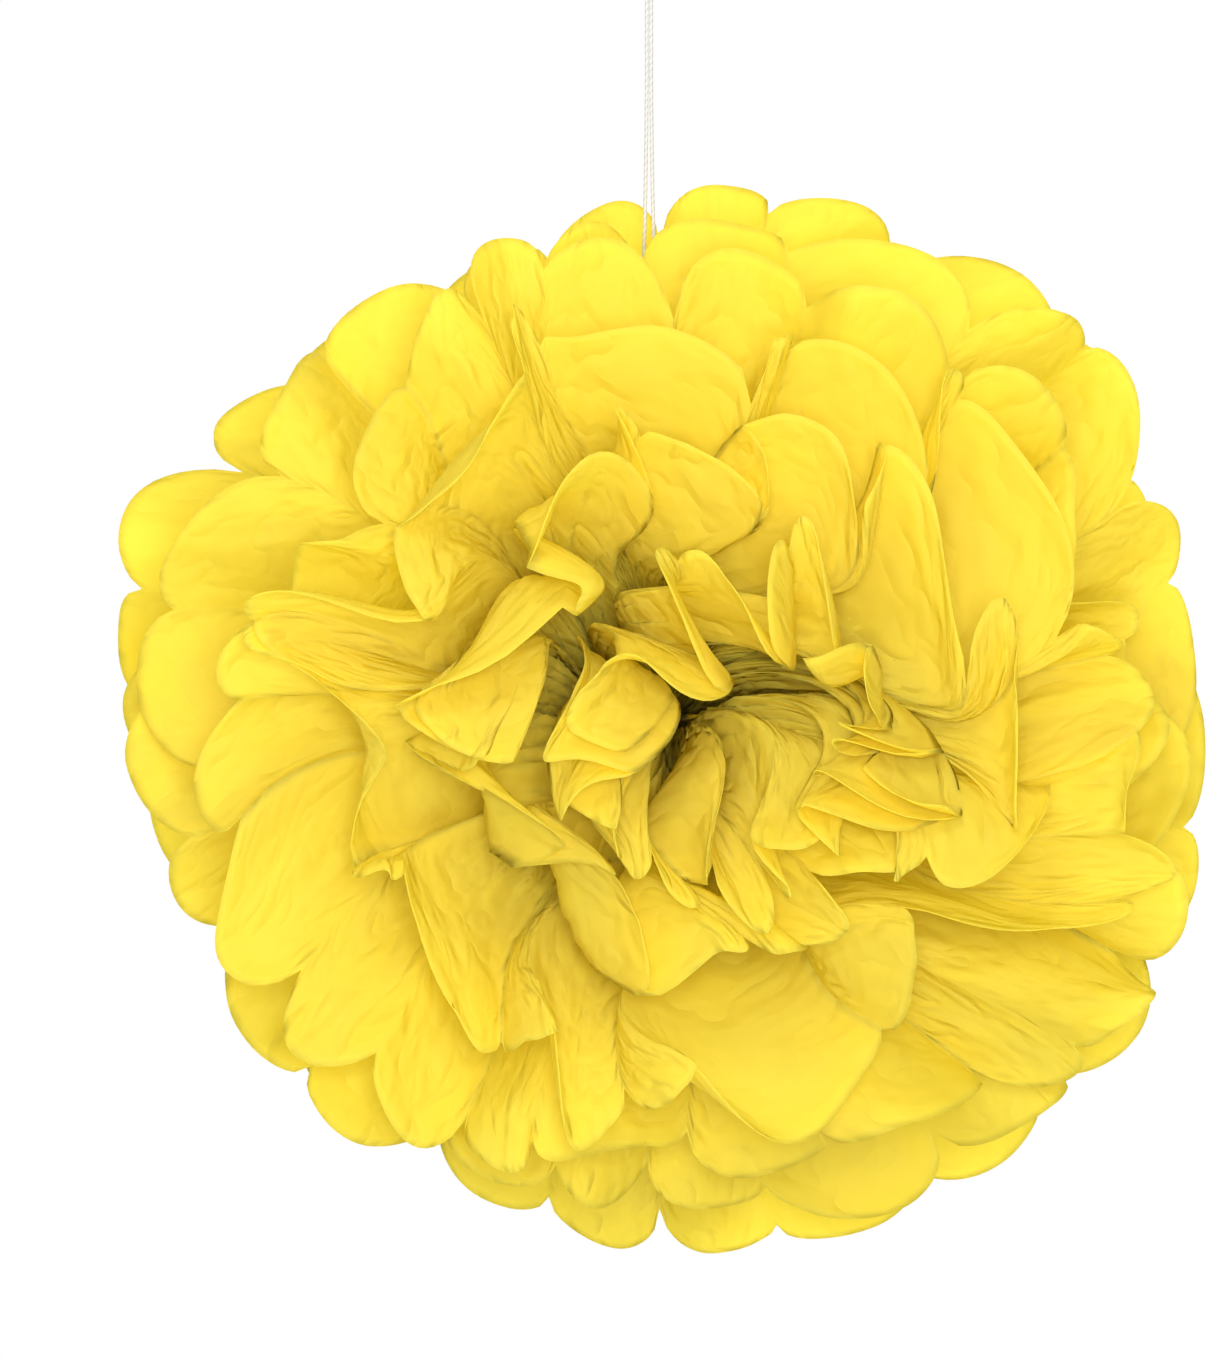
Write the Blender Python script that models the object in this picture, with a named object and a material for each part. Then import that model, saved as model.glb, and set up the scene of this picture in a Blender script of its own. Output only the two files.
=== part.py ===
"""Tissue paper pom pom: ten pleated paper sheets, the wire that gathers them and the hanging string.

Metres, +Z up. The origin is the top of the hanging loop, where the pom pom is hung up, and the
paper ball hangs below it. The sheets were laid on each other, pleated together, tied at the
middle and fanned out above and below the tie. Five of them were then pulled to the front and
five to the back, so that each sheet stands at a steeper angle than the one behind it.

Each sheet is worked out in the ball's own frame: X across, Z up along the pleats and Y through
the stack of sheets, with the origin at the middle of the tie.
"""

import math

import bmesh
import bpy
import numpy as np

# Paper
PANELS = 12
PANEL_WIDTH = 0.0250
LEAST_FOLD = 0.0080
SHEET_LENGTH = 0.2015
SCALLOP_DEPTHS = (0.0095, 0.0050)
PAPER_THICKNESS = 0.0002
CLEARANCE = 0.0003

# Stack of sheets at the tie
SHEETS_PER_SIDE = 5
WAIST_WIDTH = 0.0050
LAYER_GAP = 0.00035

# Fanned sheets. The five sheets of a side stand in bands of elevation with these edges, and the
# panels of the steeper sheets are opened less evenly
BAND_EDGES = tuple(math.radians(angle) for angle in (2.0, 24.0, 45.0, 61.0, 74.0, 88.5))
BAND_GAP = math.radians(2.0)
OPENING_SPREADS = (0.08, 0.20, 0.45, 0.55, 0.55)
PANEL_PAIRING = 0.9
PANEL_CHANCE = 0.6
FOLD_SHARES = (0.7, 1.0)
TIP_CURL = 0.07
TWIST = math.radians(2.0)
SIDE_OVERLAP = math.radians(5.0)
OVERLAP_REACH = (0.15, 0.75)
PANEL_BULGE = math.radians(3.5)
LOBE_CURL = math.radians(5.5)
SWEEP_ANGLE = math.radians(2.0)
LOBE_SHORTENING = 0.05
CURL_REACH = (0.70, 1.0)
SWEEP_STEP = 2.4
BALL_YAW = math.radians(4.0)

# Unevenness that all the sheets share
FIELD_WAVES = ((0.120, 0.0050), (0.085, 0.0025), (0.055, 0.0012))
FIELD_DRIFT = (0.0036, -0.0028, 0.0)
FIELD_STRETCH = (0.0, -0.015, 0.025)
FIELD_QUIET_RADIUS = 0.012
FIELD_FULL_RADIUS = 0.090
FIELD_PLANE_DEPTH = 0.014

# Turn, sway and lean of the paper at the ball's front and back
STIR_DEPTHS = (0.006, 0.080)
STIR_RADIUS = 0.045
STIR_TURNS = (math.radians(30.0), math.radians(-22.0))
STIR_SWAY = 0.003
STIR_LENGTH = 0.045
LEAN = (0.013, -0.012)
LEAN_DEPTHS = (0.050, 0.105)
BACK_LEAN = -0.7
SEED = 41

# Wire tie
WIRE_DIAMETER = 0.0008

# Hanging string, with its route in the ball's frame: half of the loop, from the knot to the top
STRING_DIAMETER = 0.0007
STRAND_SPACING = 0.00084
BALL_DROP = 0.1550
KNOT_HEIGHT = 0.1372
KNOT_TURNS = 3
MERGE_HEIGHT = 0.1180
LOOP_HALF = (
    (0.00060, 0.0034),
    (0.00150, 0.0056),
    (0.00270, 0.0080),
    (0.00355, 0.0104),
    (0.00370, 0.0127),
    (0.00300, 0.0147),
    (0.00170, 0.0160),
)
STRAND_SPREAD = 1.6
STRAND_POINTS = 9
STRING_POINTS = 80

# Mesh resolution
COLUMNS_PER_PANEL = (3, 3, 3, 2, 2)
ROWS_PER_END = (3, 3, 3, 5, 5)
KNOT_POINTS_PER_TURN = 10
TIE_SEGMENTS = (12, 5)

YELLOW = (0.97, 0.76, 0.045, 1.0)
WHITE = (0.86, 0.86, 0.84, 1.0)
STEEL = (0.62, 0.62, 0.64, 1.0)

WAIST_HALF_WIDTH = WAIST_WIDTH / 2
WIRE_RADIUS = WIRE_DIAMETER / 2
STRING_RADIUS = STRING_DIAMETER / 2
LAYER_PITCH = PAPER_THICKNESS + LAYER_GAP
FIRST_LAYER_DEPTH = STRING_RADIUS + CLEARANCE + PAPER_THICKNESS / 2
SLIT_HALF_HEIGHT = WIRE_RADIUS + CLEARANCE
FAN_REACH = SHEET_LENGTH / 2 - SLIT_HALF_HEIGHT
LAST_LAYER_DEPTH = FIRST_LAYER_DEPTH + (SHEETS_PER_SIDE - 1) * LAYER_PITCH
STACK_CORNER = math.hypot(WAIST_HALF_WIDTH, LAST_LAYER_DEPTH + PAPER_THICKNESS / 2)
TIE_RADIUS = STACK_CORNER + CLEARANCE + WIRE_RADIUS


def clear_scene():
    for obj in list(bpy.data.objects):
        bpy.data.objects.remove(obj, do_unlink=True)


def make_material(name, color, roughness, metallic):
    material = bpy.data.materials.new(name)
    material.use_nodes = True
    shader = material.node_tree.nodes["Principled BSDF"]
    shader.inputs["Base Color"].default_value = color
    shader.inputs["Roughness"].default_value = roughness
    shader.inputs["Metallic"].default_value = metallic
    return material


def add_object(name, data, material, collection, parent):
    data.materials.append(material)
    obj = bpy.data.objects.new(name, data)
    collection.objects.link(obj)
    obj.parent = parent
    return obj


def smooth_step(value, start, stop):
    """0 below start, 1 above stop and a smooth rise between them."""
    share = np.clip((value - start) / (stop - start), 0.0, 1.0)
    return share * share * (3.0 - 2.0 * share)


def stirred(points):
    """The points turned about the ball's front and back axis, swayed beside it and leant over it.

    All three die out away from the axis and towards the middle plane. So the slit between the
    upper and lower fans winds at the front and the back, and the steepest petals close it.
    """
    x, y, z = points[..., 0], points[..., 1], points[..., 2]
    near = np.exp(-(x**2 + z**2) / STIR_RADIUS**2)
    share = smooth_step(np.abs(y), *STIR_DEPTHS) * near
    turn = np.where(y < 0.0, *STIR_TURNS) * share
    x, z = x * np.cos(turn) + z * np.sin(turn), z * np.cos(turn) - x * np.sin(turn)
    z = z + STIR_SWAY * share * np.sin(2 * math.pi * x / STIR_LENGTH)
    near = np.exp(-(x**2 + z**2) / STIR_RADIUS**2)
    lean = np.where(y < 0.0, 1.0, BACK_LEAN) * smooth_step(np.abs(y), *LEAN_DEPTHS) * near
    x = x + LEAN[0] * lean
    z = z + LEAN[1] * lean
    return np.stack((x, y, z), axis=-1)


def shared_unevenness(points):
    """The points moved by smooth waves that are the same for every sheet.

    The waves die out at the tie, and none moves a point through the middle plane, so sheets that
    lie apart stay apart and the string's plane stays free.
    """
    rng = np.random.default_rng(SEED)
    moved = points * FIELD_STRETCH + FIELD_DRIFT
    for length, height in FIELD_WAVES:
        for axis in range(3):
            direction = rng.normal(size=3)
            direction /= np.linalg.norm(direction)
            phase = rng.uniform(0.0, 2 * math.pi)
            moved[..., axis] += height * np.sin(points @ direction * 2 * math.pi / length + phase)
    distance = np.linalg.norm(points, axis=-1)
    share = smooth_step(distance, FIELD_QUIET_RADIUS, FIELD_FULL_RADIUS)
    moved[..., 1] *= np.tanh(np.abs(points[..., 1]) / FIELD_PLANE_DEPTH)
    return points + moved * share[..., None]


def limited(angle, limit):
    """The angle, held softly within plus and minus the limit."""
    return angle / (1.0 + np.abs(angle / limit) ** 4) ** 0.25


def fan_end(across, reach, layer, end, side, rng):
    """One fanned end of a sheet, above (end 1) or below (end -1) the tie.

    across runs from 0 to 1 over the sheet's width and reach from 0 at the tie to 1 at the edge. A
    ray of the fan stands at an azimuth in the plane of the fan and at an elevation out of it. The
    elevation zigzags from crease to crease by what the opened panel leaves of its width.
    """
    crease_numbers = np.arange(PANELS + 1)
    wide_and_narrow = np.where(np.arange(PANELS) % 2 == 0, PANEL_PAIRING, -PANEL_PAIRING)
    wide_and_narrow += PANEL_CHANCE * np.clip(rng.normal(size=PANELS), -2.0, 2.0)
    openings = np.exp(OPENING_SPREADS[layer] * wide_and_narrow)
    openings *= math.pi / openings.sum()
    creases = np.concatenate(([0.0], np.cumsum(openings)))
    folds = end * np.where(crease_numbers % 2 == 0, 1.0, -1.0) * rng.uniform(*FOLD_SHARES, PANELS + 1)
    folds[[0, -1]] = end
    bulges = PANEL_BULGE * rng.uniform(-1.0, 1.0, PANELS)
    bulges[[0, -1]] = end * np.abs(bulges[[0, -1]])
    twist = TWIST * rng.uniform(-1.0, 1.0)
    curls = LOBE_CURL * rng.uniform(-1.0, 1.0, PANELS)
    sweep = rng.uniform(0.0, 2 * math.pi)
    lengths = 1.0 - LOBE_SHORTENING * rng.uniform(0.0, 1.0, PANELS)

    place = across * PANELS
    panel = np.minimum(place.astype(int), PANELS - 1)
    crown = 1.0 - (2.0 * (place - panel) - 1.0) ** 2
    azimuth = np.interp(place, crease_numbers, creases)
    notch = np.where(np.rint(place) % 2 == 0, SCALLOP_DEPTHS[0], SCALLOP_DEPTHS[1])
    lobes = 0.5 * (np.append(lengths, lengths[-1]) + np.append(lengths[0], lengths))
    length = FAN_REACH * np.interp(place, crease_numbers, lobes)
    distance = reach * (length - notch * (1.0 - np.sqrt(crown)))

    lowest = BAND_EDGES[layer] + BAND_GAP / 2
    highest = BAND_EDGES[layer + 1] - BAND_GAP / 2
    middle = (lowest + highest) / 2
    limit = (highest - lowest) / 2
    joined = np.concatenate((openings[:1], (openings[:-1] + openings[1:]) / 2, openings[-1:]))
    chord = distance * math.cos(middle) * np.interp(place, crease_numbers, joined)
    fold_depth = 0.5 * np.sqrt(np.maximum(PANEL_WIDTH**2 - chord**2, LEAST_FOLD**2))
    fold_angle = limited(fold_depth / np.maximum(distance, CLEARANCE), limit)
    own = np.interp(place, crease_numbers, folds) * fold_angle + bulges[panel] * crown * reach
    own += curls[panel] * crown * smooth_step(reach, *CURL_REACH)
    own += SWEEP_ANGLE * np.sin(place * SWEEP_STEP + sweep) * reach
    elevation = (middle + limited(own, limit)) * (1.0 - TIP_CURL * reach**3)
    spread = SIDE_OVERLAP * smooth_step(reach, *OVERLAP_REACH)
    azimuth = azimuth + end * twist * reach**2 + spread * (2.0 * across - 1.0)

    flat = distance * np.cos(elevation)
    depth = distance * np.sin(elevation)
    x = (WAIST_HALF_WIDTH + flat) * np.cos(azimuth)
    y = side * (FIRST_LAYER_DEPTH + layer * LAYER_PITCH + depth)
    z = end * (SLIT_HALF_HEIGHT + PAPER_THICKNESS / 2 + flat * np.sin(azimuth))
    return np.stack((x, y, z), axis=-1)


def upright_directions(points):
    """Unit directions across a grid of points: the mean of the normals at each point's corners."""
    right = points[:, 1:] - points[:, :-1]
    up = points[1:] - points[:-1]
    total = np.zeros_like(points)
    for low in (True, False):
        for left in (True, False):
            side = right[:-1] if low else right[1:]
            rise = up[:, :-1] if left else up[:, 1:]
            normal = np.cross(side, rise)
            normal /= np.linalg.norm(normal, axis=-1)[..., None]
            rows = slice(None, -1) if low else slice(1, None)
            columns = slice(None, -1) if left else slice(1, None)
            total[rows, columns] += normal
    return total / np.linalg.norm(total, axis=-1)[..., None]


def add_sheet(number, layer, side, material, collection, parent):
    """One sheet: a thin flat slab of a grid, whose two faces are carried to their fanned places.

    They lie half the paper's thickness to either side of the fanned grid at its edge, and less
    towards the tie, where the folds lie closer together than that.
    """
    columns = PANELS * COLUMNS_PER_PANEL[layer]
    end_rows = ROWS_PER_END[layer]
    rows = 2 * end_rows + 1
    mesh = bpy.data.meshes.new(f"tissue_sheet_{number}")
    grid = bmesh.new()
    bmesh.ops.create_grid(grid, x_segments=columns, y_segments=rows, size=0.5)
    bmesh.ops.solidify(grid, geom=grid.faces[:], thickness=PAPER_THICKNESS)
    bmesh.ops.recalc_face_normals(grid, faces=grid.faces[:])
    grid.to_mesh(mesh)
    grid.free()

    flat = np.zeros(len(mesh.vertices) * 3, dtype=np.float32)
    mesh.vertices.foreach_get("co", flat)
    flat = flat.reshape(-1, 3).astype(float)
    face = np.where(flat[:, 2] > flat[:, 2].mean(), 1.0, -1.0)
    column = np.rint((flat[:, 0] + 0.5) * columns).astype(int)
    row = np.rint((flat[:, 1] + 0.5) * rows).astype(int)

    steps = np.arange(end_rows + 1) / end_rows
    fans = []
    for end in (-1, 1):
        rng = np.random.default_rng(SEED + 10 * number + end)
        reach, across = np.meshgrid(steps[::end], np.linspace(0.0, 1.0, columns + 1), indexing="ij")
        fans.append(fan_end(across, reach, layer, end, side, rng))
    middle = shared_unevenness(stirred(np.concatenate(fans)))
    half = PAPER_THICKNESS / 2 * np.concatenate((steps[::-1], steps))
    half[end_rows : end_rows + 2] = PAPER_THICKNESS / 2
    directions = upright_directions(middle)
    directions[end_rows : end_rows + 2] = (0.0, 1.0, 0.0)
    points = middle[row, column] + (face * half[row])[:, None] * directions[row, column]
    mesh.vertices.foreach_set("co", points.astype(np.float32).ravel())
    mesh.update()
    add_object(f"tissue_sheet_{number}", mesh, material, collection, parent)


def add_tie(material, collection, parent):
    """One closed turn of wire round the stack, in the slit between the upper and lower fans."""
    segments, sides = TIE_SEGMENTS
    bpy.ops.mesh.primitive_torus_add(
        major_segments=segments, minor_segments=sides, major_radius=TIE_RADIUS, minor_radius=WIRE_RADIUS
    )
    tie = bpy.context.object
    tie.name = "centre_tie"
    tie.data.materials.append(material)
    tie.data.shade_smooth()
    for holder in list(tie.users_collection):
        holder.objects.unlink(tie)
    collection.objects.link(tie)
    tie.parent = parent


def smooth_path(points, count):
    """A smooth curve through the points, read at evenly spaced places along it."""
    points = np.asarray(points, dtype=float)
    before = np.vstack((2 * points[0] - points[1], points[:-2]))
    after = np.vstack((points[2:], 2 * points[-1] - points[-2]))
    start, stop = points[:-1], points[1:]
    pieces = []
    for t in np.linspace(0.0, 1.0, 24, endpoint=False):
        pieces.append(
            0.5
            * (
                2 * start
                + (stop - before) * t
                + (2 * before - 5 * start + 4 * stop - after) * t**2
                + (3 * start - before - 3 * stop + after) * t**3
            )
        )
    fine = np.vstack((np.stack(pieces, axis=1).reshape(-1, 3), points[-1]))
    along = np.concatenate(([0.0], np.cumsum(np.linalg.norm(np.diff(fine, axis=0), axis=1))))
    even = np.linspace(0.0, along[-1], count)
    return np.stack([np.interp(even, along, fine[:, axis]) for axis in range(3)], axis=1)


def add_cord(name, path, diameter, material, collection, parent):
    curve = bpy.data.curves.new(name, "CURVE")
    curve.dimensions = "3D"
    curve.bevel_depth = diameter / 2
    curve.bevel_resolution = 2
    curve.use_fill_caps = True
    spline = curve.splines.new("POLY")
    spline.points.add(len(path) - 1)
    for spline_point, place in zip(spline.points, path):
        spline_point.co = (*place, 1.0)
    return add_object(name, curve, material, collection, parent)


def string_route():
    """The doubled string: up from one side of the tie, round the hanging loop and down again."""
    half_spacing = STRAND_SPACING / 2
    foot = WIRE_RADIUS + CLEARANCE
    right = []
    for height in np.linspace(foot, MERGE_HEIGHT, STRAND_POINTS):
        apart = ((MERGE_HEIGHT - height) / (MERGE_HEIGHT - foot)) ** STRAND_SPREAD
        right.append((half_spacing + (TIE_RADIUS - half_spacing) * apart, 0.0, height))
    right.append((half_spacing, 0.0, (MERGE_HEIGHT + KNOT_HEIGHT) / 2))
    right.append((half_spacing, 0.0, KNOT_HEIGHT))
    for x, rise in LOOP_HALF:
        right.append((x, 0.0, KNOT_HEIGHT + rise))
    top = (0.0, 0.0, BALL_DROP - STRING_RADIUS)
    left = [(-x, y, z) for x, y, z in right]
    return left + [top] + right[::-1]


def knot_route():
    """The knot's turns round the two strands, wound as a short helix."""
    radius = STRAND_SPACING / 2 + STRING_DIAMETER + CLEARANCE
    pitch = STRING_DIAMETER + CLEARANCE
    count = KNOT_TURNS * KNOT_POINTS_PER_TURN + 1
    angle = np.linspace(0.0, 2 * math.pi * KNOT_TURNS, count)
    height = KNOT_HEIGHT - KNOT_TURNS * pitch / 2 + pitch * angle / (2 * math.pi)
    return np.stack((radius * np.cos(angle), radius * np.sin(angle), height), axis=1)


def main():
    clear_scene()
    collection = bpy.data.collections.new("tissue_paper_pom_pom")
    bpy.context.scene.collection.children.link(collection)
    ball_centre = bpy.data.objects.new("ball_centre", None)
    ball_centre.location = (0.0, 0.0, -BALL_DROP)
    ball_centre.rotation_euler = (0.0, 0.0, BALL_YAW)
    collection.objects.link(ball_centre)

    tissue = make_material("yellow_tissue", YELLOW, 0.85, 0.0)
    cotton = make_material("white_string", WHITE, 0.8, 0.0)
    steel = make_material("tie_wire", STEEL, 0.35, 1.0)

    for layer in range(SHEETS_PER_SIDE):
        add_sheet(layer + 1, layer, -1, tissue, collection, ball_centre)
    for layer in range(SHEETS_PER_SIDE):
        add_sheet(SHEETS_PER_SIDE + layer + 1, layer, 1, tissue, collection, ball_centre)
    add_tie(steel, collection, ball_centre)
    string_path = smooth_path(string_route(), STRING_POINTS)
    add_cord("hanging_string", string_path, STRING_DIAMETER, cotton, collection, ball_centre)
    add_cord("loop_knot", knot_route(), STRING_DIAMETER, cotton, collection, ball_centre)


main()
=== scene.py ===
"""Looks of a tissue paper pom pom: ten crinkled paper sheets, a wire tie and a doubled white string."""

import math

import bpy
import numpy as np
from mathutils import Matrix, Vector


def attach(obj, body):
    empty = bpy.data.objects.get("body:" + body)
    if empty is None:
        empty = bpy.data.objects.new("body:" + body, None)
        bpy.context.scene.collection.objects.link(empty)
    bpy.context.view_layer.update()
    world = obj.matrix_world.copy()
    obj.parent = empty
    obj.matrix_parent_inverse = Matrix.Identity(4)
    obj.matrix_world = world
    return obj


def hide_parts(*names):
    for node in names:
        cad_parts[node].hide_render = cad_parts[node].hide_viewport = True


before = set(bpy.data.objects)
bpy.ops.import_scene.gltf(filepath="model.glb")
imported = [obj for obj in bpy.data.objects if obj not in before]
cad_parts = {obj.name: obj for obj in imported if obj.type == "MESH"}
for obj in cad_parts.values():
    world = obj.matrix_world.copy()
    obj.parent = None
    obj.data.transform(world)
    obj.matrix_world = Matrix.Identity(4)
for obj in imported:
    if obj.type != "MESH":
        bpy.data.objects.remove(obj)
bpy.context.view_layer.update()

# The camera looks level at the ball from the front, from far off with a long lens, so that the
# ball is seen almost without perspective. The picture's place and size come from the ball's
# stated height and from where its middle lies in the picture.
PICTURE_SIZE = (1210, 1360)
STRING_AT_PIXEL = 649
BALL_AT_PIXEL = 717
PIXELS_PER_METRE = 5360.0
CAMERA_DISTANCE = 1.7
SENSOR = 36.0
BALL_DROP = 0.1550

camera_data = bpy.data.cameras.new("camera")
camera_data.sensor_width = SENSOR
camera_data.lens = SENSOR * CAMERA_DISTANCE * PIXELS_PER_METRE / PICTURE_SIZE[1]
camera_data.clip_start = 0.05
camera = bpy.data.objects.new("camera", camera_data)
camera.location = (
    (PICTURE_SIZE[0] / 2 - STRING_AT_PIXEL) / PIXELS_PER_METRE,
    -CAMERA_DISTANCE,
    (BALL_AT_PIXEL - PICTURE_SIZE[1] / 2) / PIXELS_PER_METRE - BALL_DROP,
)
camera.rotation_euler = (math.radians(90.0), 0.0, 0.0)
bpy.context.scene.collection.objects.link(camera)
bpy.context.scene.camera = camera


# The string is one length of white cotton thread. It runs up from one side of the wire tie, round
# the hanging loop and down to the tie's other side, and three turns knot its two strands together
# under the loop. The two plies of the thread are twisted round each other.
BALL_YAW = math.radians(4.0)
WIRE_RADIUS = 0.0004
CLEARANCE = 0.0003
TIE_RADIUS = 0.004644
STRING_DIAMETER = 0.0007
STRAND_SPACING = 0.00084
KNOT_HEIGHT = 0.1372
KNOT_TURNS = 3
MERGE_HEIGHT = 0.1180
LOOP_HALF = (
    (0.00060, 0.0034),
    (0.00150, 0.0056),
    (0.00270, 0.0080),
    (0.00355, 0.0104),
    (0.00370, 0.0127),
    (0.00300, 0.0147),
    (0.00170, 0.0160),
)
STRAND_SPREAD = 1.6
STRAND_POINTS = 9
STRING_COLOR = (0.80, 0.80, 0.785, 1.0)
PLY_PITCH = 0.0026
PLY_RELIEF = 0.10


def placed(points):
    """Points of the ball's own frame in the row frame: turned about Z by the yaw and let down."""
    cos, sin = math.cos(BALL_YAW), math.sin(BALL_YAW)
    x = points[..., 0] * cos - points[..., 1] * sin
    y = points[..., 0] * sin + points[..., 1] * cos
    return np.stack((x, y, points[..., 2] - BALL_DROP), axis=-1)


def smooth_path(points, count):
    """A Catmull-Rom curve through the points, read at evenly spaced places along it, and its length."""
    points = np.asarray(points, dtype=float)
    before = np.vstack((2 * points[0] - points[1], points[:-2]))
    after = np.vstack((points[2:], 2 * points[-1] - points[-2]))
    start, stop = points[:-1], points[1:]
    t = np.linspace(0.0, 1.0, 24, endpoint=False)[None, :, None]
    start, stop, before, after = (part[:, None, :] for part in (start, stop, before, after))
    bend = (2 * before - 5 * start + 4 * stop - after) * t**2
    swing = (3 * start - before - 3 * stop + after) * t**3
    fine = 0.5 * (2 * start + (stop - before) * t + bend + swing)
    fine = np.vstack((fine.reshape(-1, 3), points[-1]))
    along = np.concatenate(([0.0], np.cumsum(np.linalg.norm(np.diff(fine, axis=0), axis=1))))
    even = np.linspace(0.0, along[-1], count)
    return np.stack([np.interp(even, along, fine[:, axis]) for axis in range(3)], axis=1), along[-1]


def string_route():
    """The points that the doubled string follows, in the ball's own frame."""
    half_spacing = STRAND_SPACING / 2
    foot = WIRE_RADIUS + CLEARANCE
    right = []
    for height in np.linspace(foot, MERGE_HEIGHT, STRAND_POINTS):
        apart = ((MERGE_HEIGHT - height) / (MERGE_HEIGHT - foot)) ** STRAND_SPREAD
        right.append((half_spacing + (TIE_RADIUS - half_spacing) * apart, 0.0, height))
    right.append((half_spacing, 0.0, (MERGE_HEIGHT + KNOT_HEIGHT) / 2))
    right.append((half_spacing, 0.0, KNOT_HEIGHT))
    for x, rise in LOOP_HALF:
        right.append((x, 0.0, KNOT_HEIGHT + rise))
    top = (0.0, 0.0, BALL_DROP - STRING_DIAMETER / 2)
    left = [(-x, y, z) for x, y, z in right]
    return left + [top] + right[::-1]


def surface_mesh(name, points, uv, closed_round=False):
    """A mesh over a grid of points, rows by columns, with a UV map; the columns may close round."""
    rows, columns = points.shape[:2]
    steps = columns if closed_round else columns - 1
    row = np.arange(rows - 1)[:, None] * columns
    here = np.arange(steps)[None, :]
    right = (here + 1) % columns
    quads = np.stack((row + here, row + right, row + columns + right, row + columns + here), axis=-1)
    quads = quads.reshape(-1, 4)
    mesh = bpy.data.meshes.new(name)
    mesh.vertices.add(rows * columns)
    mesh.vertices.foreach_set("co", points.astype(np.float32).ravel())
    mesh.loops.add(quads.size)
    mesh.loops.foreach_set("vertex_index", quads.astype(np.int32).ravel())
    mesh.polygons.add(len(quads))
    mesh.polygons.foreach_set("loop_start", np.arange(0, quads.size, 4, dtype=np.int32))
    mesh.update(calc_edges=True)
    mesh.uv_layers.new(name="UVMap")
    corner_uv = uv.reshape(-1, 2)[quads.ravel()]
    mesh.uv_layers[0].data.foreach_set("uv", corner_uv.astype(np.float32).ravel())
    mesh.shade_smooth()
    return mesh


def closed_ends(path, points):
    """The rings of a tube along a path, with a ring shrunk to a point added at either end."""
    sides = points.shape[1]
    first = np.repeat(path[:1, None], sides, axis=1)
    last = np.repeat(path[-1:, None], sides, axis=1)
    return np.concatenate((first, points, last))


def thread_tube(name, path, radius, sides, pitch, relief):
    """A twisted thread along a path: rings of points whose radius swells at each of its two plies.

    The rings stand across the path, and the plies' angle turns once in each pitch of length. The
    ends shrink to a point, which closes the tube.
    """
    tangent = np.gradient(path, axis=0)
    tangent /= np.linalg.norm(tangent, axis=1)[:, None]
    across = np.cross(tangent, (0.0, 1.0, 0.0))
    across /= np.linalg.norm(across, axis=1)[:, None]
    over = np.cross(tangent, across)
    step = np.linalg.norm(np.diff(path, axis=0), axis=1)
    along = np.concatenate(([0.0], np.cumsum(step)))
    angle = np.linspace(0.0, 2 * math.pi, sides, endpoint=False)
    turn = angle[None, :] - 2 * math.pi * along[:, None] / pitch
    swell = radius * (1.0 - relief + relief * np.abs(np.cos(turn)))
    round_about = angle[None, :, None]
    ring = np.cos(round_about) * across[:, None] + np.sin(round_about) * over[:, None]
    points = closed_ends(path, path[:, None] + ring * swell[:, :, None])
    along = np.concatenate((along[:1], along, along[-1:]))
    uv = np.stack(np.broadcast_arrays(angle[None, :] / (2 * math.pi), along[:, None] / pitch), axis=-1)
    return surface_mesh(name, points, uv, closed_round=True)


class Shade:
    """A socket of a material's node tree. Expressions on it add Math nodes."""

    def __init__(self, tree, socket=None):
        self.tree = tree
        self.socket = socket

    def node(self, kind, settings, inputs, output=0):
        """A new node with its settings, then the values or links of its sockets."""
        node = self.tree.nodes.new(kind)
        for key, value in settings.items():
            if key == "stops":
                ramp = node.color_ramp
                while len(ramp.elements) < len(value):
                    ramp.elements.new(0.5)
                for element, (position, color) in zip(ramp.elements, value):
                    element.position = position
                    element.color = color
            else:
                setattr(node, key, value)
        for key, value in inputs.items():
            if isinstance(value, Shade):
                self.tree.links.new(value.socket, node.inputs[key])
            else:
                node.inputs[key].default_value = value
        return Shade(self.tree, node.outputs[output])

    def math(self, operation, first, second=0.0):
        return self.node("ShaderNodeMath", {"operation": operation}, {0: first, 1: second})

    def __add__(self, other):
        return self.math("ADD", self, other)

    def __radd__(self, other):
        return self.math("ADD", other, self)

    def __sub__(self, other):
        return self.math("SUBTRACT", self, other)

    def __rsub__(self, other):
        return self.math("SUBTRACT", other, self)

    def __mul__(self, other):
        return self.math("MULTIPLY", self, other)

    def __rmul__(self, other):
        return self.math("MULTIPLY", other, self)

    def mix(self, factor, first, second, blend="MIX"):
        """A colour between two colours, by a factor or a blend of them."""
        settings = {"data_type": "RGBA", "blend_type": blend}
        return self.node("ShaderNodeMix", settings, {0: factor, 6: first, 7: second}, output=2)

    def noise(self, vector, scale, detail=2.0, roughness=0.5):
        inputs = {"Vector": vector, "Scale": scale, "Detail": detail, "Roughness": roughness}
        return self.node("ShaderNodeTexNoise", {}, inputs)


def new_material(name):
    """An empty node material, the Shade of its tree and its output node."""
    material = bpy.data.materials.new(name)
    material.use_nodes = True
    tree = material.node_tree
    tree.nodes.clear()
    return material, Shade(tree), tree.nodes.new("ShaderNodeOutputMaterial")


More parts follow.
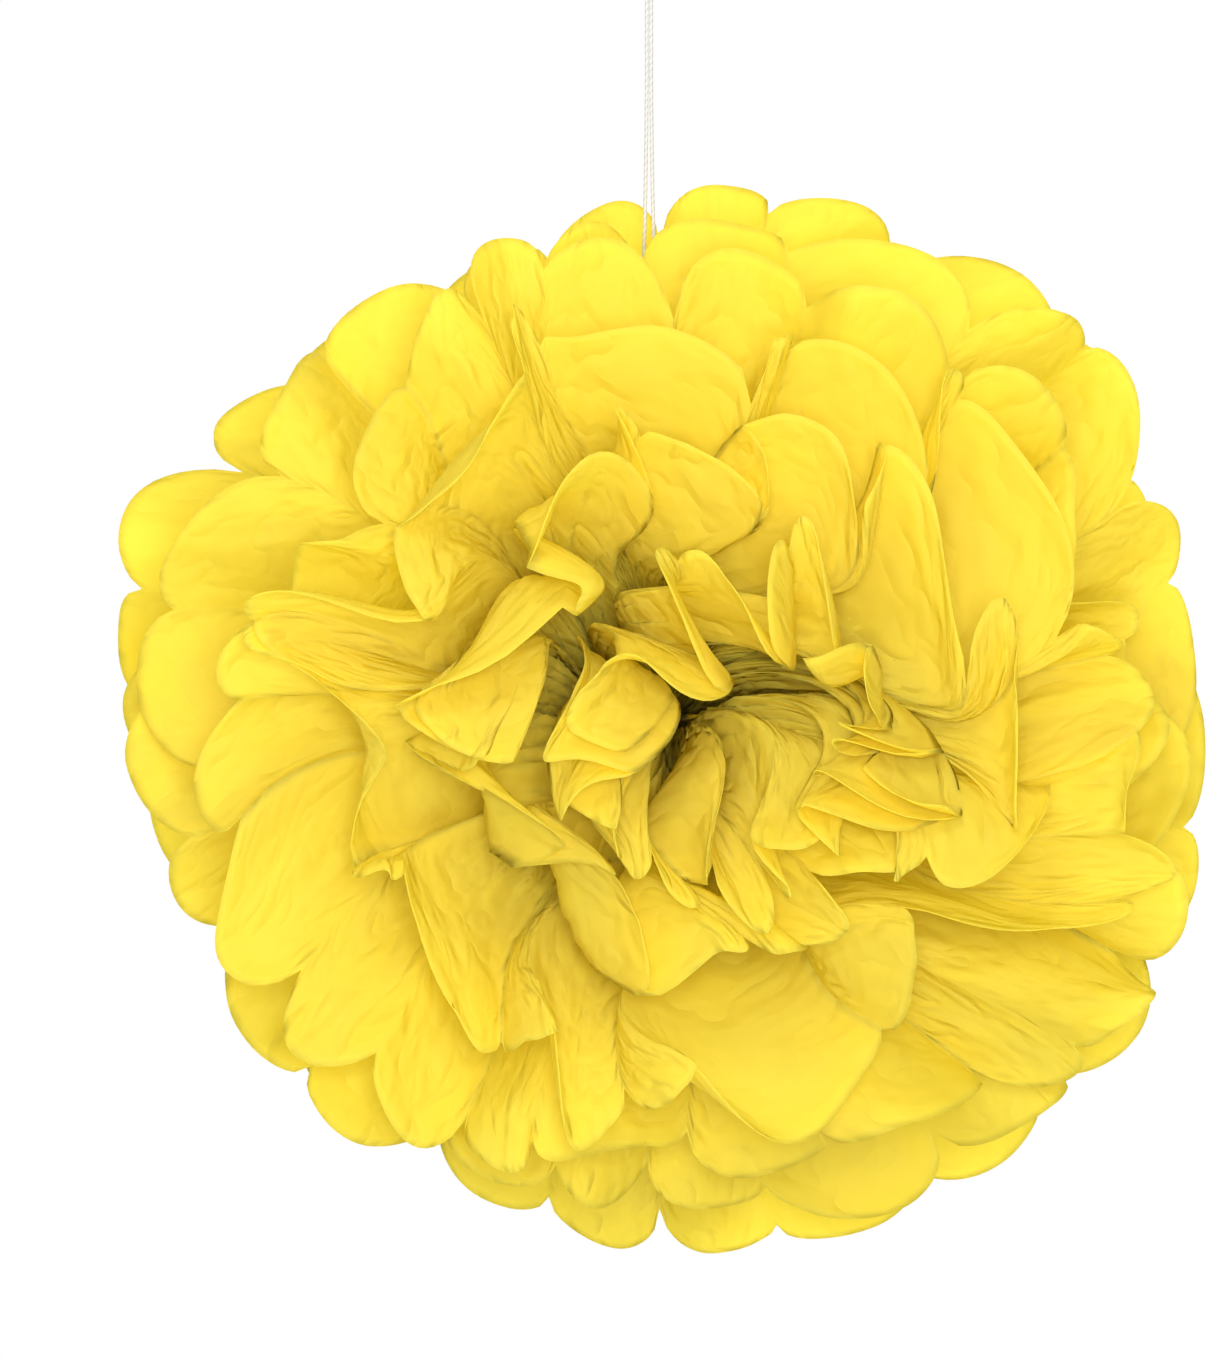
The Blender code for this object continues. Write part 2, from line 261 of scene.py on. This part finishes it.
def cotton_material():
    """White cotton with short fibres across the twist, and painted shade that darkens the colour in the
    groove between the plies.
    """
    material, shade, output = new_material("white_cotton")
    uv = shade.node("ShaderNodeTexCoord", {}, {}, output=2)
    parts = shade.node("ShaderNodeSeparateXYZ", {}, {0: uv})
    down = Shade(shade.tree, parts.socket.node.outputs[1])
    turn = (parts - down) * (2 * math.pi)
    groove_shade_factor = shade.math("ABSOLUTE", shade.math("COSINE", turn))
    stretched = shade.node("ShaderNodeMapping", {}, {0: uv, 3: (14.0, 5.0, 1.0)})
    fibres = shade.noise(stretched, 2.0)
    # Painted shade: the thread's colour goes to grey in the groove between the two plies, where the
    # twist sinks.
    color = shade.mix(groove_shade_factor, (0.62, 0.62, 0.60, 1.0), STRING_COLOR)
    color = shade.mix(fibres * 0.25, color, (0.74, 0.74, 0.71, 1.0))
    bump = shade.node("ShaderNodeBump", {}, {"Strength": 0.4, "Distance": 0.0001, "Height": fibres})
    inputs = {"Base Color": color, "Roughness": 0.85, "Normal": bump}
    surface = shade.node("ShaderNodeBsdfPrincipled", {}, inputs)
    shade.tree.links.new(surface.socket, output.inputs[0])
    return material


def add_piece(name, mesh, material):
    """A new piece of the object, at the origin, that rides on the row's one body."""
    mesh.materials.append(material)
    piece = bpy.data.objects.new(name, mesh)
    bpy.context.scene.collection.objects.link(piece)
    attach(piece, "root")
    return piece


cotton = cotton_material()
STRING_POINTS = 780
string_path, string_length = smooth_path(string_route(), STRING_POINTS)
string_path = placed(string_path)
string_mesh = thread_tube("cotton_string", string_path, STRING_DIAMETER / 2, 10, PLY_PITCH, PLY_RELIEF)
string = add_piece("cotton_string", string_mesh, cotton)
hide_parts("hanging_string")

knot_radius = STRAND_SPACING / 2 + STRING_DIAMETER + CLEARANCE
knot_pitch = STRING_DIAMETER + CLEARANCE
knot_angle = np.linspace(0.0, 2 * math.pi * KNOT_TURNS, 40 * KNOT_TURNS)
knot_rise = KNOT_HEIGHT - KNOT_TURNS * knot_pitch / 2 + knot_pitch * knot_angle / (2 * math.pi)
knot_turn = np.stack((np.cos(knot_angle), np.sin(knot_angle)), axis=1)
knot_path = np.column_stack((knot_radius * knot_turn, knot_rise))


def coiled_tube(name, path, radius, sides):
    """A thread wound about Z: each ring lies in the plane of Z and the line to the axis."""
    outward = path * (1.0, 1.0, 0.0)
    outward /= np.linalg.norm(outward, axis=1)[:, None]
    angle = np.linspace(0.0, 2 * math.pi, sides, endpoint=False)
    up = np.array((0.0, 0.0, 1.0))
    ring = np.cos(angle)[None, :, None] * outward[:, None] + np.sin(angle)[None, :, None] * up
    points = closed_ends(path, path[:, None] + ring[:, ::-1] * radius)
    along = np.arange(len(points)) / 20.0
    uv = np.stack(np.broadcast_arrays(angle[None, :] / (2 * math.pi), along[:, None]), axis=-1)
    return surface_mesh(name, placed(points), uv, closed_round=True)


knot_mesh = coiled_tube("string_knot", knot_path, STRING_DIAMETER / 2, 10)
knot = add_piece("string_knot", knot_mesh, cotton)
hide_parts("loop_knot")


# The tie is one turn of thin steel wire, drawn tight round the middle of the stack of sheets. It
# lies in the slit between their upper and lower fans.
def wire_material():
    """Drawn steel wire, with fine scratches along it."""
    material, shade, output = new_material("drawn_steel_wire")
    place = shade.node("ShaderNodeTexCoord", {}, {}, output=3)
    scratches = shade.noise(place, 2500.0, detail=3.0)
    roughness = 0.25 + scratches * 0.25
    color = shade.mix(scratches, (0.50, 0.50, 0.52, 1.0), (0.70, 0.70, 0.72, 1.0))
    inputs = {"Base Color": color, "Metallic": 1.0, "Roughness": roughness}
    surface = shade.node("ShaderNodeBsdfPrincipled", {}, inputs)
    shade.tree.links.new(surface.socket, output.inputs[0])
    return material


tie_angle = np.linspace(0.0, 2 * math.pi, 72, endpoint=False)[:, None]
tie_side = np.linspace(0.0, 2 * math.pi, 12, endpoint=False)[None, :]
tie_reach = TIE_RADIUS + WIRE_RADIUS * np.cos(tie_side)
tie_points = np.stack(
    np.broadcast_arrays(
        tie_reach * np.cos(tie_angle), tie_reach * np.sin(tie_angle), -WIRE_RADIUS * np.sin(tie_side)
    ),
    axis=-1,
)
tie_points = np.concatenate((tie_points, tie_points[:1]))
tie_uv = np.stack(np.meshgrid(np.linspace(0, 1, 12), np.linspace(0, 1, 73)), axis=-1)
tie_mesh = surface_mesh("wire_tie", placed(tie_points), tie_uv, closed_round=True)
tie = add_piece("wire_tie", tie_mesh, wire_material())
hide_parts("centre_tie")


# Each sheet is one rectangle of thin yellow tissue. It was pleated with the others, rounded at
# both ends of the folded strip, tied at the middle and fanned out. Each sheet of a side stands at
# a steeper angle, is gathered into finer folds towards the tie, and has lobes that curl.
PANELS = 12
PANEL_WIDTH = 0.0250
LEAST_FOLD = 0.0080
SHEET_LENGTH = 0.2015
SCALLOP_DEPTHS = (0.0095, 0.0050)
PAPER_THICKNESS = 0.00012
LAYER_PITCH = 0.00055
FIRST_LAYER_DEPTH = 0.00075
SLIT_HALF_HEIGHT = 0.0007
WAIST_THICKNESS = 0.0002
WAIST_HALF_WIDTH = 0.0025
SHEETS_PER_SIDE = 5
BAND_EDGES = tuple(math.radians(angle) for angle in (2.0, 24.0, 45.0, 61.0, 74.0, 88.5))
BAND_GAP = math.radians(2.0)
OPENING_SPREADS = (0.08, 0.20, 0.45, 0.55, 0.55)
PANEL_PAIRING = 0.9
PANEL_CHANCE = 0.6
MOST_CHANCE = 2.0
FOLD_SHARES = (0.7, 1.0)
TIP_CURL = 0.07
TWIST = math.radians(2.0)
SIDE_OVERLAP = math.radians(5.0)
OVERLAP_REACH = (0.15, 0.75)
PANEL_BULGE = math.radians(3.5)
LOBE_CURL = math.radians(5.5)
SWEEP_ANGLE = math.radians(2.0)
LOBE_SHORTENING = 0.05
CURL_REACH = (0.70, 1.0)
SWEEP_STEP = 2.4
FIELD_WAVES = ((0.120, 0.0050), (0.085, 0.0025), (0.055, 0.0012))
FIELD_DRIFT = (0.0036, -0.0028, 0.0)
FIELD_STRETCH = (0.0, -0.015, 0.025)
LOOSE_WAVES = ((0.060, 0.0050), (0.040, 0.0022))
LOOSE_DEPTHS = (0.025, 0.080)
SPLIT_SWAY = 0.0095
SPLIT_LENGTH = 0.120
SPLIT_PHASE = 1.6
SPLIT_TURN = 1.4
SPLIT_WIDTH = 0.025
SPLIT_REACH = (0.004, 0.045)
FIELD_QUIET_RADIUS = 0.012
FIELD_FULL_RADIUS = 0.090
FIELD_PLANE_DEPTH = 0.014
STIR_DEPTHS = (0.006, 0.080)
STIR_RADIUS = 0.045
STIR_TURNS = (math.radians(30.0), math.radians(-22.0))
STIR_SWAY = 0.003
STIR_LENGTH = 0.045
LEAN = (0.013, -0.012)
LEAN_DEPTHS = (0.050, 0.105)
BACK_LEAN = -0.7
SEED = 41
FAN_REACH = SHEET_LENGTH / 2 - SLIT_HALF_HEIGHT
COLUMNS = 216
ROWS = 52
ROW_SPACING = 0.9
LOBE_ROUNDNESS = (0.40, 0.85)
CRINKLE_DEPTH = 0.0016
CRINKLE_REACH = (0.05, 0.50)
CRINKLE_SIZES = ((0.034, 0.45), (0.019, 0.30), (0.011, 0.25))
GATHERS_PER_PANEL = (4, 5, 7, 9, 9)
GATHER_DEPTHS = (0.60, 0.66, 0.86, 0.92, 0.84)
GATHERS_FADE_FROM = 0.10
GATHER_SWAY = 0.35
GATHERED_REACHES = (0.60, 0.70, 0.84, 0.96, 0.92)


def smooth_step(value, start, stop):
    """0 below start, 1 above stop and a smooth rise between them."""
    share = np.clip((value - start) / (stop - start), 0.0, 1.0)
    return share * share * (3.0 - 2.0 * share)


def stirred(points):
    """The points turned about the ball's front and back axis, swayed beside it and leant over it.

    All three die out away from the axis and towards the middle plane. So the slit between the
    upper and lower fans winds at the front and the back, and the steepest petals close it.
    """
    x, y, z = points[..., 0], points[..., 1], points[..., 2]
    near = np.exp(-(x**2 + z**2) / STIR_RADIUS**2)
    share = smooth_step(np.abs(y), *STIR_DEPTHS) * near
    turn = np.where(y < 0.0, *STIR_TURNS) * share
    x, z = x * np.cos(turn) + z * np.sin(turn), z * np.cos(turn) - x * np.sin(turn)
    z = z + STIR_SWAY * share * np.sin(2 * math.pi * x / STIR_LENGTH)
    near = np.exp(-(x**2 + z**2) / STIR_RADIUS**2)
    lean = np.where(y < 0.0, 1.0, BACK_LEAN) * smooth_step(np.abs(y), *LEAN_DEPTHS) * near
    x = x + LEAN[0] * lean
    z = z + LEAN[1] * lean
    return np.stack((x, y, z), axis=-1)


def shared_unevenness(points):
    """The points stretched, shifted and moved by smooth waves that are the same for every sheet.

    Each wave is a sine of the distance along its own direction. All of it dies out at the tie, and
    none moves a point through the middle plane, so sheets that lie apart stay apart.
    """
    rng = np.random.default_rng(SEED)
    moved = points * FIELD_STRETCH + FIELD_DRIFT
    for length, height in FIELD_WAVES:
        for axis in range(3):
            direction = rng.normal(size=3)
            direction /= np.linalg.norm(direction)
            phase = rng.uniform(0.0, 2 * math.pi)
            moved[..., axis] += height * np.sin(points @ direction * 2 * math.pi / length + phase)
    distance = np.linalg.norm(points, axis=-1)
    share = smooth_step(distance, FIELD_QUIET_RADIUS, FIELD_FULL_RADIUS)
    moved[..., 1] *= np.tanh(np.abs(points[..., 1]) / FIELD_PLANE_DEPTH)
    return points + moved * share[..., None]


def loosened(points):
    """The points swayed sideways by shorter waves where the petals stand towards front and back.

    Each wave is a sine of the distance along its own direction, and grows with the depth. So the
    steep petals turn their faces, each in another direction. One more wave carries all the paper
    forwards and backwards, but not beside the string, so that no straight gap parts the halves.
    """
    rng = np.random.default_rng(SEED + 7)
    moved = np.zeros_like(points)
    for length, height in LOOSE_WAVES:
        for axis in (0, 2, 0, 2):
            direction = rng.normal(size=3)
            direction /= np.linalg.norm(direction)
            phase = rng.uniform(0.0, 2 * math.pi)
            moved[..., axis] += height * np.sin(points @ direction * 2 * math.pi / length + phase)
    moved *= smooth_step(np.abs(points[..., 1]), *LOOSE_DEPTHS)[..., None]
    x, z = points[..., 0], points[..., 2]
    phase = SPLIT_PHASE - SPLIT_TURN * np.tanh(x / SPLIT_WIDTH)
    away = smooth_step(np.hypot(x, np.minimum(z, 0.0)), *SPLIT_REACH)
    moved[..., 1] = SPLIT_SWAY * np.sin(z * 2 * math.pi / SPLIT_LENGTH + phase) * away
    return points + moved


def limited(angle, limit):
    """The angle, held softly within plus and minus the limit."""
    return angle / (1.0 + np.abs(angle / limit) ** 4) ** 0.25


def crinkle(across, along, rng):
    """The paper's small relief, from -1 to 1: folded ridges of waves that are bent by each other."""
    relief = np.zeros_like(across)
    for size, share in CRINKLE_SIZES:
        turn = rng.uniform(-0.9, 0.9)
        x = across * math.cos(turn) + along * math.sin(turn)
        y = along * math.cos(turn) - across * math.sin(turn)
        phases = rng.uniform(0.0, 2 * math.pi, 3)
        bent = x + 0.25 * size * np.sin(y * 2 * math.pi / (size * 1.7) + phases[0])
        ridge = 1.0 - 2.0 * np.abs(np.sin(bent * math.pi / size + phases[1]))
        relief += share * ridge * np.sin(y * math.pi / (size * 1.3) + phases[2])
    return relief


def fan_end(across, reach, layer, end, side, rng, fine):
    """One fanned end of a sheet, above (end 1) or below (end -1) the tie.

    across runs from 0 to 1 over the sheet's width and reach from 0 at the tie to 1 at the edge. A
    ray of the fan stands at an azimuth in the plane of the fan and at an elevation out of it. The
    elevation zigzags from crease to crease by what the opened panel leaves of its width, and
    from gather to gather nearer to the tie.
    """
    crease_numbers = np.arange(PANELS + 1)
    wide_and_narrow = np.where(np.arange(PANELS) % 2 == 0, PANEL_PAIRING, -PANEL_PAIRING)
    wide_and_narrow += PANEL_CHANCE * np.clip(rng.normal(size=PANELS), -MOST_CHANCE, MOST_CHANCE)
    openings = np.exp(OPENING_SPREADS[layer] * wide_and_narrow)
    openings *= math.pi / openings.sum()
    creases = np.concatenate(([0.0], np.cumsum(openings)))
    folds = end * np.where(crease_numbers % 2 == 0, 1.0, -1.0)
    folds *= rng.uniform(*FOLD_SHARES, PANELS + 1)
    folds[[0, -1]] = end
    bulges = PANEL_BULGE * rng.uniform(-1.0, 1.0, PANELS)
    bulges[[0, -1]] = end * np.abs(bulges[[0, -1]])
    twist = TWIST * rng.uniform(-1.0, 1.0)
    curls = LOBE_CURL * rng.uniform(-1.0, 1.0, PANELS)
    sweep = rng.uniform(0.0, 2 * math.pi)
    lengths = 1.0 - LOBE_SHORTENING * rng.uniform(0.0, 1.0, PANELS)

    place = across * PANELS
    panel = np.minimum(place.astype(int), PANELS - 1)
    crown = 1.0 - (2.0 * (place - panel) - 1.0) ** 2
    azimuth = np.interp(place, crease_numbers, creases)
    notch = np.where(np.rint(place) % 2 == 0, SCALLOP_DEPTHS[0], SCALLOP_DEPTHS[1])
    lobes = 0.5 * (np.append(lengths, lengths[-1]) + np.append(lengths[0], lengths))
    length = FAN_REACH * np.interp(place, crease_numbers, lobes)
    roundness = fine.uniform(*LOBE_ROUNDNESS, PANELS)
    distance = reach * (length - notch * (1.0 - crown ** roundness[panel]))

    lowest = BAND_EDGES[layer] + BAND_GAP / 2
    highest = BAND_EDGES[layer + 1] - BAND_GAP / 2
    middle = (lowest + highest) / 2
    limit = (highest - lowest) / 2
    joined = np.concatenate((openings[:1], (openings[:-1] + openings[1:]) / 2, openings[-1:]))
    chord = distance * math.cos(middle) * np.interp(place, crease_numbers, joined)
    fold_depth = 0.5 * np.sqrt(np.maximum(PANEL_WIDTH**2 - chord**2, LEAST_FOLD**2))
    fold_angle = limited(fold_depth / np.maximum(distance, CLEARANCE), limit)
    zigzag = np.interp(place, crease_numbers, folds) * fold_angle

    gathered = 1.0 - smooth_step(reach, GATHERS_FADE_FROM, GATHERED_REACHES[layer])
    sway = GATHER_SWAY * np.sin(reach * 9.0 + fine.uniform(0.0, 6.0) + place * 0.7)
    gather_place = (place + sway * reach) * GATHERS_PER_PANEL[layer]
    gather_wave = 2.0 * np.abs(gather_place % 2.0 - 1.0) - 1.0
    gathers = GATHER_DEPTHS[layer] * limit * gathered * gather_wave

    curl = curls[panel] * crown * smooth_step(reach, *CURL_REACH)
    flare = SWEEP_ANGLE * np.sin(place * SWEEP_STEP + sweep) * reach
    small = crinkle(across * PANELS * PANEL_WIDTH, distance, fine)
    small *= CRINKLE_DEPTH * smooth_step(reach, *CRINKLE_REACH) / np.maximum(distance, CLEARANCE)
    own = zigzag + bulges[panel] * crown * reach + gathers + curl + flare + small
    elevation = (middle + limited(own, limit)) * (1.0 - TIP_CURL * reach**3)
    spread = SIDE_OVERLAP * smooth_step(reach, *OVERLAP_REACH)
    azimuth = azimuth + end * twist * reach**2 + spread * (2.0 * across - 1.0)

    flat = distance * np.cos(elevation)
    depth = distance * np.sin(elevation)
    x = (WAIST_HALF_WIDTH + flat) * np.cos(azimuth)
    y = side * (FIRST_LAYER_DEPTH + layer * LAYER_PITCH + depth)
    z = end * (SLIT_HALF_HEIGHT + WAIST_THICKNESS / 2 + flat * np.sin(azimuth))
    return np.stack((x, y, z), axis=-1)


def upright_directions(points):
    """Unit directions across a grid of points: the mean of the normals at each point's corners."""
    right = points[:, 1:] - points[:, :-1]
    up = points[1:] - points[:-1]
    total = np.zeros_like(points)
    for low in (True, False):
        for left in (True, False):
            side = right[:-1] if low else right[1:]
            rise = up[:, :-1] if left else up[:, 1:]
            normal = np.cross(side, rise)
            normal /= np.linalg.norm(normal, axis=-1)[..., None]
            rows = slice(None, -1) if low else slice(1, None)
            columns = slice(None, -1) if left else slice(1, None)
            total[rows, columns] += normal
    return total / np.linalg.norm(total, axis=-1)[..., None]


def thin_sheet_mesh(name, points, thickness, uv):
    """A closed thin sheet: the grid of points twice, half the thickness to either side, and a rim.

    The rim is shaded flat, so that it doesn't bend the light on the two faces.
    """
    rows, columns = points.shape[:2]
    half = upright_directions(points) * thickness / 2
    row = np.arange(rows - 1)[:, None] * columns
    here = np.arange(columns - 1)[None, :]
    corner = row + here
    front = np.stack((corner, corner + 1, corner + columns + 1, corner + columns), axis=-1)
    front = front.reshape(-1, 4)
    back = front[:, ::-1] + rows * columns
    edge = np.concatenate(
        (
            np.arange(columns - 1),
            np.arange(rows - 1) * columns + columns - 1,
            (rows - 1) * columns + np.arange(columns - 1, 0, -1),
            np.arange(rows - 1, 0, -1) * columns,
        )
    )
    after = np.roll(edge, -1)
    rim = np.stack((edge, edge + rows * columns, after + rows * columns, after), axis=-1)
    quads = np.concatenate((front, back, rim))
    mesh = bpy.data.meshes.new(name)
    mesh.vertices.add(2 * rows * columns)
    places = np.concatenate(((points + half).reshape(-1, 3), (points - half).reshape(-1, 3)))
    mesh.vertices.foreach_set("co", places.astype(np.float32).ravel())
    mesh.loops.add(quads.size)
    mesh.loops.foreach_set("vertex_index", quads.astype(np.int32).ravel())
    mesh.polygons.add(len(quads))
    mesh.polygons.foreach_set("loop_start", np.arange(0, quads.size, 4, dtype=np.int32))
    mesh.update(calc_edges=True)
    mesh.uv_layers.new(name="UVMap")
    both = np.concatenate((uv.reshape(-1, 2), uv.reshape(-1, 2)))
    mesh.uv_layers[0].data.foreach_set("uv", both[quads.ravel()].astype(np.float32).ravel())
    mesh.polygons.foreach_set("use_smooth", np.arange(len(quads)) < 2 * len(front))
    return mesh


TISSUE_COLOR = (0.990, 0.890, 0.175, 1.0)
TISSUE_SHADE = (0.980, 0.840, 0.090, 1.0)
TISSUE_GLOW = (1.0, 0.905, 0.165, 1.0)
TISSUE_MAPPING = (0.360, 0.1985, 1.0)
WRINKLE_MAPPING = (1.5, 0.8, 1.0)


def tissue_material():
    """Thin matt tissue: cloudy in thickness, with small wrinkles along the pleats and short creases.

    Light goes through it, more where the paper is thin.
    """
    material, shade, output = new_material("yellow_tissue")
    uv = shade.node("ShaderNodeTexCoord", {}, {}, output=2)
    paper = shade.node("ShaderNodeMapping", {}, {0: uv, 3: TISSUE_MAPPING})
    clouds = shade.noise(paper, 80.0, detail=2.0, roughness=0.6)
    along = shade.node("ShaderNodeMapping", {}, {0: paper, 3: WRINKLE_MAPPING})
    wrinkles = shade.noise(along, 75.0, detail=1.0, roughness=0.55)
    crease = shade.math("MINIMUM", shade.math("ABSOLUTE", clouds - 0.5) * 7.0, 1.0)
    thin = clouds * 1.5 - 0.25
    color = shade.mix(thin, TISSUE_SHADE, TISSUE_COLOR)
    relief = wrinkles * 0.60 + crease * 0.22
    bump = shade.node("ShaderNodeBump", {}, {"Strength": 0.8, "Distance": 0.0030, "Height": relief})
    inputs = {"Base Color": color, "Roughness": 0.82, "Specular IOR Level": 0.25, "Normal": bump}
    face = shade.node("ShaderNodeBsdfPrincipled", {}, inputs)
    glow = shade.node("ShaderNodeBsdfTranslucent", {}, {"Color": TISSUE_GLOW})
    share = 0.50 + thin * 0.14
    both = shade.node("ShaderNodeMixShader", {}, {0: share, 1: face, 2: glow})
    shade.tree.links.new(both.socket, output.inputs[0])
    return material


tissue = tissue_material()
row_reach = np.linspace(0.0, 1.0, ROWS + 1) ** ROW_SPACING
columns_across = np.linspace(0.0, 1.0, COLUMNS + 1)
for number in range(1, 2 * SHEETS_PER_SIDE + 1):
    layer = (number - 1) % SHEETS_PER_SIDE
    side = -1 if number <= SHEETS_PER_SIDE else 1
    points = []
    for end in (-1, 1):
        rng = np.random.default_rng(SEED + 10 * number + end)
        fine = np.random.default_rng(SEED + 1000 + 10 * number + end)
        reach, across = np.meshgrid(row_reach[::end], columns_across, indexing="ij")
        points.append(fan_end(across, reach, layer, end, side, rng, fine))
    points = placed(loosened(shared_unevenness(stirred(np.concatenate(points)))))
    down = np.concatenate((-row_reach[::-1], row_reach)) * 0.5 + 0.5
    uv = np.stack(np.meshgrid(columns_across, down), axis=-1)
    name = f"pleated_sheet_{number}"
    mesh = thin_sheet_mesh(name, points, PAPER_THICKNESS, uv)
    paper = add_piece(name, mesh, tissue)
    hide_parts(f"tissue_sheet_{number}")


# The room is plain: a pale floor well below the ball, even white light from all round, one soft
# lamp high on the left, one close to the camera and one behind the ball. The background is white
# to the camera and to what is mirrored or seen through.
FLOOR_HEIGHT = -0.85
FLOOR_SIZE = 6.0
ROOM_LIGHT = 0.36


def floor_material():
    """Pale matt floor, left out when seen from below."""
    material, shade, output = new_material("pale_floor")
    inputs = {"Base Color": (0.86, 0.86, 0.85, 1.0), "Roughness": 0.9}
    surface = shade.node("ShaderNodeBsdfPrincipled", {}, inputs)
    clear = shade.node("ShaderNodeBsdfTransparent", {}, {})
    below = shade.node("ShaderNodeNewGeometry", {}, {}, output=6)
    both = shade.node("ShaderNodeMixShader", {}, {0: below, 1: surface, 2: clear})
    shade.tree.links.new(both.socket, output.inputs[0])
    return material


floor_mesh = bpy.data.meshes.new("floor")
edge = FLOOR_SIZE / 2
corners = [(-edge, -edge), (edge, -edge), (edge, edge), (-edge, edge)]
floor_mesh.from_pydata([(x, y, FLOOR_HEIGHT) for x, y in corners], [], [(0, 1, 2, 3)])
floor_mesh.materials.append(floor_material())
floor = bpy.data.objects.new("floor", floor_mesh)
bpy.context.scene.collection.objects.link(floor)

world = bpy.data.worlds.new("room")
bpy.context.scene.world = world
world.use_nodes = True
room = Shade(world.node_tree)
world.node_tree.nodes.clear()
world_output = world.node_tree.nodes.new("ShaderNodeOutputWorld")
light_path = room.node("ShaderNodeLightPath", {}, {})
glossy = Shade(world.node_tree, light_path.socket.node.outputs["Is Glossy Ray"])
passing = Shade(world.node_tree, light_path.socket.node.outputs["Is Transmission Ray"])
seen = room.math("MINIMUM", light_path + glossy + passing, 1.0)
strength = seen * (1.0 - ROOM_LIGHT) + ROOM_LIGHT
background = room.node("ShaderNodeBackground", {}, {"Color": (1.0, 1.0, 1.0, 1.0), "Strength": strength})
world.node_tree.links.new(background.socket, world_output.inputs[0])

for lamp_name, place, size, power in (
    ("key", (-0.30, -1.2, 0.85), 0.6, 6.5),
    ("front", (0.05, -1.6, -0.12), 0.4, 17.0),
    ("back", (0.20, 1.5, 0.35), 0.8, 8.5),
):
    lamp_data = bpy.data.lights.new(lamp_name, "AREA")
    lamp_data.size = size
    lamp_data.energy = power
    lamp = bpy.data.objects.new(lamp_name, lamp_data)
    lamp.location = place
    aim = Vector((0.0, 0.0, -BALL_DROP)) - lamp.location
    lamp.rotation_euler = aim.to_track_quat("-Z", "Y").to_euler()
    bpy.context.scene.collection.objects.link(lamp)

bpy.context.scene.view_settings.view_transform = "Standard"
bpy.context.scene.cycles.max_bounces = 9
bpy.context.scene.cycles.diffuse_bounces = 7
